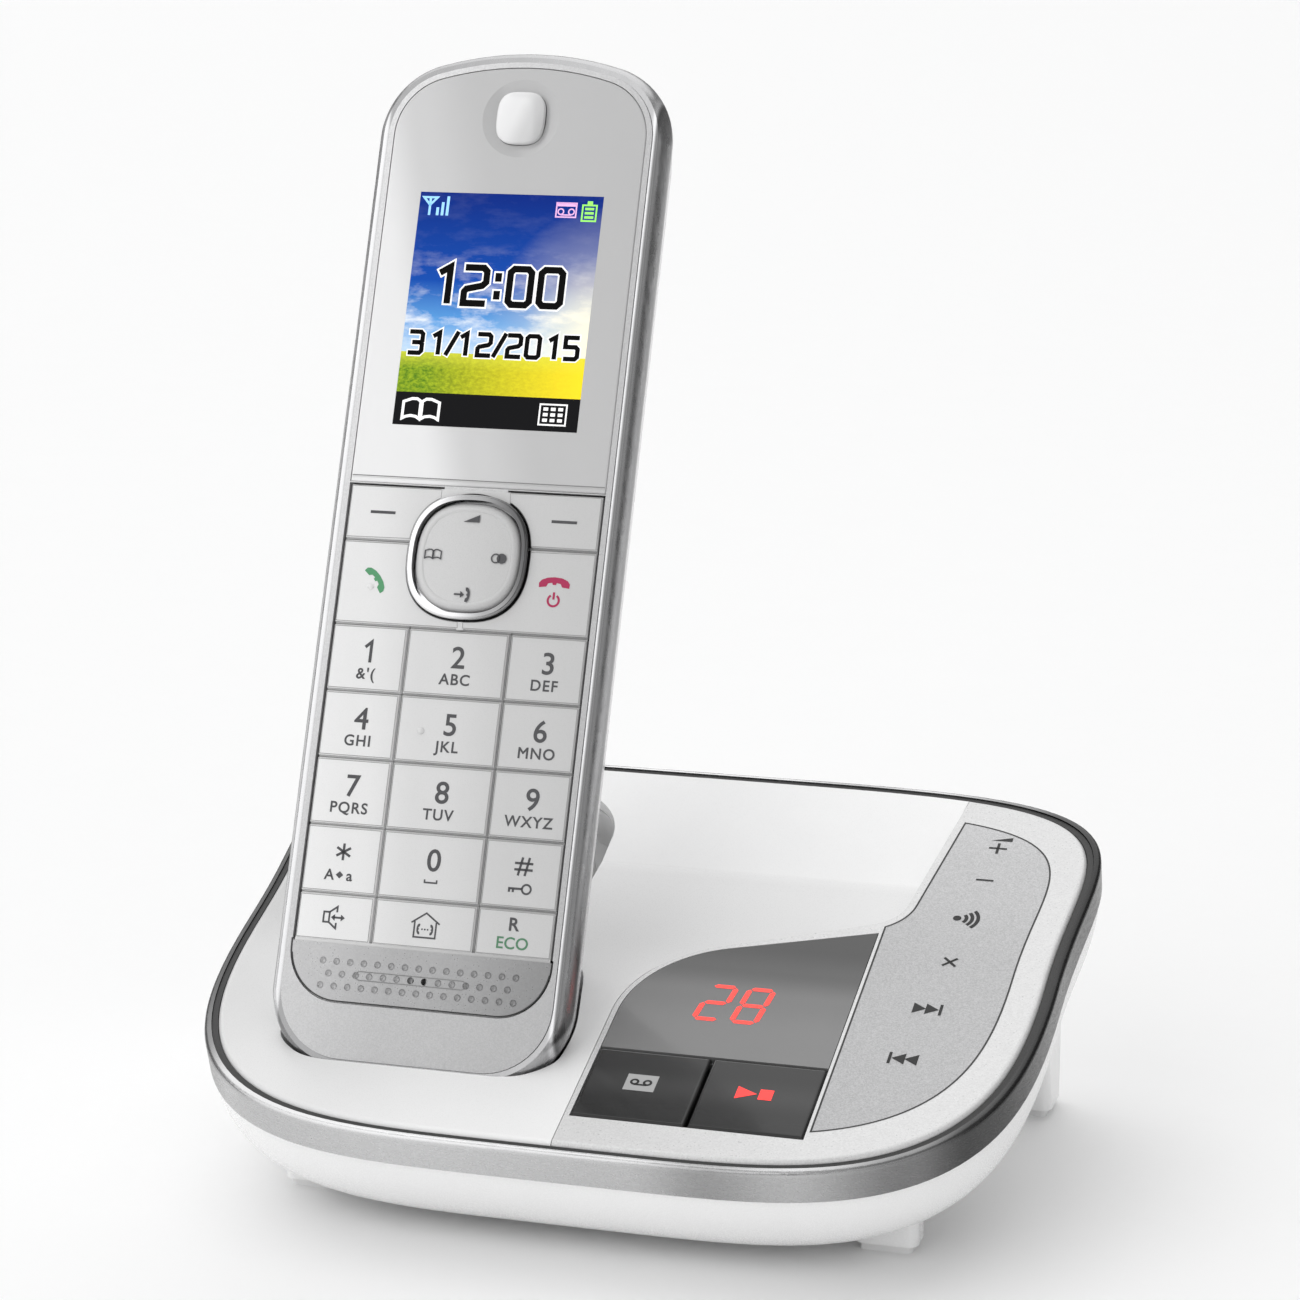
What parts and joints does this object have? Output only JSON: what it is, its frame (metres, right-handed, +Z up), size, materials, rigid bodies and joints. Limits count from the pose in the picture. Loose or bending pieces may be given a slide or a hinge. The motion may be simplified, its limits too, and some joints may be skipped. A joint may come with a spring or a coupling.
{
  "type": "cordless phone with answering machine base",
  "caption": "Slim upright cordless handset with colour display and keypad, standing in a tilted base with message display, keys and a control strip.",
  "frame": {"origin": "centre of the whole object's footprint, on the desk", "axes": "+Z up, +Y to the back of the base, +X to the right seen from the front"},
  "size_m": [0.1246, 0.0919, 0.1586],
  "materials": {
    "cover_white": "gloss",
    "pearl_white": "pearl gloss",
    "satin_silver": "satin silver paint",
    "band_metal": "satin chrome",
    "black_rubber": "matte",
    "smoked_lens": "smoked gloss",
    "gloss_black": "gloss",
    "plunger_plastic": "matte",
    "circuit_board": "solder mask",
    "speaker_metal": "plain",
    "gold_contact": "plated",
    "window_plate": "gloss silver white",
    "lcd_glass": "gloss",
    "bright_chrome": "polished",
    "cap_white": "gloss",
    "back_white": "fine satin",
    "cell_wrap": "printed sleeve",
    "mat_rubber": "translucent silicone",
    "key_white": "translucent gloss"
  },
  "bodies": {
    "base": {"base_board": "circuit_board", "base_lower_tub": "cover_white", "base_screws": "speaker_metal", "base_speaker": "speaker_metal", "base_top_cover": "cover_white", "charge_springs": "gold_contact", "control_membrane": "satin_silver", "control_panel": "pearl_white", "cradle_liner": "cover_white", "dc_socket": "gloss_black", "digit_module": "gloss_black", "display_lens": "smoked_lens", "line_socket": "gloss_black", "rim_seal": "black_rubber", "rubber_feet": "black_rubber", "trim_band": "band_metal"},
    "handset": {"handset_front_shell": "satin_silver", "display_window": "window_plate", "lcd_panel": "lcd_glass", "earpiece_cap": "cap_white", "earpiece_receiver": "speaker_metal", "handset_side_rail": "bright_chrome", "handset_back_shell": "back_white", "battery_cells": "cell_wrap", "battery_springs": "speaker_metal", "keypad_mat": "mat_rubber", "handset_board": "circuit_board", "microphone_plate": "window_plate", "microphone": "speaker_metal", "ringer_speaker": "speaker_metal", "handset_contacts": "gold_contact"},
    "soft_key_left_body": {"soft_key_left": "key_white"},
    "soft_key_right_body": {"soft_key_right": "key_white"},
    "talk_key_body": {"talk_key": "key_white"},
    "end_key_body": {"end_key": "key_white"},
    "key_1_body": {"key_1": "key_white"},
    "key_2_body": {"key_2": "key_white"},
    "key_3_body": {"key_3": "key_white"},
    "key_4_body": {"key_4": "key_white"},
    "key_5_body": {"key_5": "key_white"},
    "key_6_body": {"key_6": "key_white"},
    "key_7_body": {"key_7": "key_white"},
    "key_8_body": {"key_8": "key_white"},
    "key_9_body": {"key_9": "key_white"},
    "key_star_body": {"key_star": "key_white"},
    "key_0_body": {"key_0": "key_white"},
    "key_hash_body": {"key_hash": "key_white"},
    "speaker_key_body": {"speaker_key": "key_white"},
    "intercom_key_body": {"intercom_key": "key_white"},
    "recall_key_body": {"recall_key": "key_white"},
    "locator_plunger_body": {"locator_plunger": "plunger_plastic"},
    "erase_plunger_body": {"erase_plunger": "plunger_plastic"},
    "forward_plunger_body": {"forward_plunger": "plunger_plastic"},
    "back_plunger_body": {"back_plunger": "plunger_plastic"},
    "answer_key_body": {"answer_key": "gloss_black"},
    "play_stop_key_body": {"play_stop_key": "gloss_black"},
    "volume_rocker_body": {"volume_rocker": "plunger_plastic"},
    "nav_ring_body": {"nav_ring": "bright_chrome"},
    "nav_pad_body": {"nav_pad": "cap_white"},
    "battery_cover_body": {"battery_cover": "back_white"}
  },
  "joints": [
    {"name": "handset_lift", "type": "slide", "parent": "base", "child": "handset", "axis": [0, 0.3891, 0.9212], "range_m": [0, 0.12]},
    {"name": "battery_cover_lift", "type": "slide", "parent": "handset", "child": "battery_cover_body", "axis": [0, 0.9212, -0.3891], "range_m": [0, 0.006]},
    {"name": "soft_key_left_press", "type": "slide", "parent": "handset", "child": "soft_key_left_body", "axis": [0, 0.9212, -0.3891], "range_m": [0, 0.0005], "stiffness_N_per_m": 400, "springref_m": -0.0006},
    {"name": "soft_key_right_press", "type": "slide", "parent": "handset", "child": "soft_key_right_body", "axis": [0, 0.9212, -0.3891], "range_m": [0, 0.0005], "stiffness_N_per_m": 400, "springref_m": -0.0006},
    {"name": "talk_key_press", "type": "slide", "parent": "handset", "child": "talk_key_body", "axis": [0, 0.9212, -0.3891], "range_m": [0, 0.0005], "stiffness_N_per_m": 400, "springref_m": -0.0006},
    {"name": "end_key_press", "type": "slide", "parent": "handset", "child": "end_key_body", "axis": [0, 0.9212, -0.3891], "range_m": [0, 0.0005], "stiffness_N_per_m": 400, "springref_m": -0.0006},
    {"name": "key_1_press", "type": "slide", "parent": "handset", "child": "key_1_body", "axis": [0, 0.9212, -0.3891], "range_m": [0, 0.0005], "stiffness_N_per_m": 400, "springref_m": -0.0006},
    {"name": "key_2_press", "type": "slide", "parent": "handset", "child": "key_2_body", "axis": [0, 0.9212, -0.3891], "range_m": [0, 0.0005], "stiffness_N_per_m": 400, "springref_m": -0.0006},
    {"name": "key_3_press", "type": "slide", "parent": "handset", "child": "key_3_body", "axis": [0, 0.9212, -0.3891], "range_m": [0, 0.0005], "stiffness_N_per_m": 400, "springref_m": -0.0006},
    {"name": "key_4_press", "type": "slide", "parent": "handset", "child": "key_4_body", "axis": [0, 0.9212, -0.3891], "range_m": [0, 0.0005], "stiffness_N_per_m": 400, "springref_m": -0.0006},
    {"name": "key_5_press", "type": "slide", "parent": "handset", "child": "key_5_body", "axis": [0, 0.9212, -0.3891], "range_m": [0, 0.0005], "stiffness_N_per_m": 400, "springref_m": -0.0006},
    {"name": "key_6_press", "type": "slide", "parent": "handset", "child": "key_6_body", "axis": [0, 0.9212, -0.3891], "range_m": [0, 0.0005], "stiffness_N_per_m": 400, "springref_m": -0.0006},
    {"name": "key_7_press", "type": "slide", "parent": "handset", "child": "key_7_body", "axis": [0, 0.9212, -0.3891], "range_m": [0, 0.0005], "stiffness_N_per_m": 400, "springref_m": -0.0006},
    {"name": "key_8_press", "type": "slide", "parent": "handset", "child": "key_8_body", "axis": [0, 0.9212, -0.3891], "range_m": [0, 0.0005], "stiffness_N_per_m": 400, "springref_m": -0.0006},
    {"name": "key_9_press", "type": "slide", "parent": "handset", "child": "key_9_body", "axis": [0, 0.9212, -0.3891], "range_m": [0, 0.0005], "stiffness_N_per_m": 400, "springref_m": -0.0006},
    {"name": "key_star_press", "type": "slide", "parent": "handset", "child": "key_star_body", "axis": [0, 0.9212, -0.3891], "range_m": [0, 0.0005], "stiffness_N_per_m": 400, "springref_m": -0.0006},
    {"name": "key_0_press", "type": "slide", "parent": "handset", "child": "key_0_body", "axis": [0, 0.9212, -0.3891], "range_m": [0, 0.0005], "stiffness_N_per_m": 400, "springref_m": -0.0006},
    {"name": "key_hash_press", "type": "slide", "parent": "handset", "child": "key_hash_body", "axis": [0, 0.9212, -0.3891], "range_m": [0, 0.0005], "stiffness_N_per_m": 400, "springref_m": -0.0006},
    {"name": "speaker_key_press", "type": "slide", "parent": "handset", "child": "speaker_key_body", "axis": [0, 0.9212, -0.3891], "range_m": [0, 0.0005], "stiffness_N_per_m": 400, "springref_m": -0.0006},
    {"name": "intercom_key_press", "type": "slide", "parent": "handset", "child": "intercom_key_body", "axis": [0, 0.9212, -0.3891], "range_m": [0, 0.0005], "stiffness_N_per_m": 400, "springref_m": -0.0006},
    {"name": "recall_key_press", "type": "slide", "parent": "handset", "child": "recall_key_body", "axis": [0, 0.9212, -0.3891], "range_m": [0, 0.0005], "stiffness_N_per_m": 400, "springref_m": -0.0006},
    {"name": "nav_up_down", "type": "hinge", "parent": "handset", "child": "nav_ring_body", "pos_m": [-0.025, -0.00152, 0.08854], "axis": [1, 0, 0], "range_deg": [-1.6, 1.6], "stiffness_Nm_per_rad": 0.3},
    {"name": "nav_left_right", "type": "hinge", "parent": "nav_ring_body", "child": "nav_pad_body", "pos_m": [-0.025, -0.00263, 0.08901], "axis": [0, 0.3891, 0.9212], "range_deg": [-1.6, 1.6], "stiffness_Nm_per_rad": 0.3},
    {"name": "answer_key_press", "type": "slide", "parent": "base", "child": "answer_key_body", "axis": [0, 0.3156, -0.9489], "range_m": [0, 0.0006], "stiffness_N_per_m": 500, "springref_m": -0.0006},
    {"name": "play_stop_key_press", "type": "slide", "parent": "base", "child": "play_stop_key_body", "axis": [0, 0.3156, -0.9489], "range_m": [0, 0.0006], "stiffness_N_per_m": 500, "springref_m": -0.0006},
    {"name": "locator_plunger_press", "type": "slide", "parent": "base", "child": "locator_plunger_body", "axis": [0, 0.3156, -0.9489], "range_m": [0, 0.0003], "stiffness_N_per_m": 500, "springref_m": -0.0006},
    {"name": "erase_plunger_press", "type": "slide", "parent": "base", "child": "erase_plunger_body", "axis": [0, 0.3156, -0.9489], "range_m": [0, 0.0003], "stiffness_N_per_m": 500, "springref_m": -0.0006},
    {"name": "forward_plunger_press", "type": "slide", "parent": "base", "child": "forward_plunger_body", "axis": [0, 0.3156, -0.9489], "range_m": [0, 0.0003], "stiffness_N_per_m": 500, "springref_m": -0.0006},
    {"name": "back_plunger_press", "type": "slide", "parent": "base", "child": "back_plunger_body", "axis": [0, 0.3156, -0.9489], "range_m": [0, 0.0003], "stiffness_N_per_m": 500, "springref_m": -0.0006},
    {"name": "volume_rock", "type": "hinge", "parent": "base", "child": "volume_rocker_body", "pos_m": [0.0452, 0.02767, 0.03566], "axis": [1, 0, 0], "range_deg": [-1.5, 1.5], "stiffness_Nm_per_rad": 0.3}
  ]
}
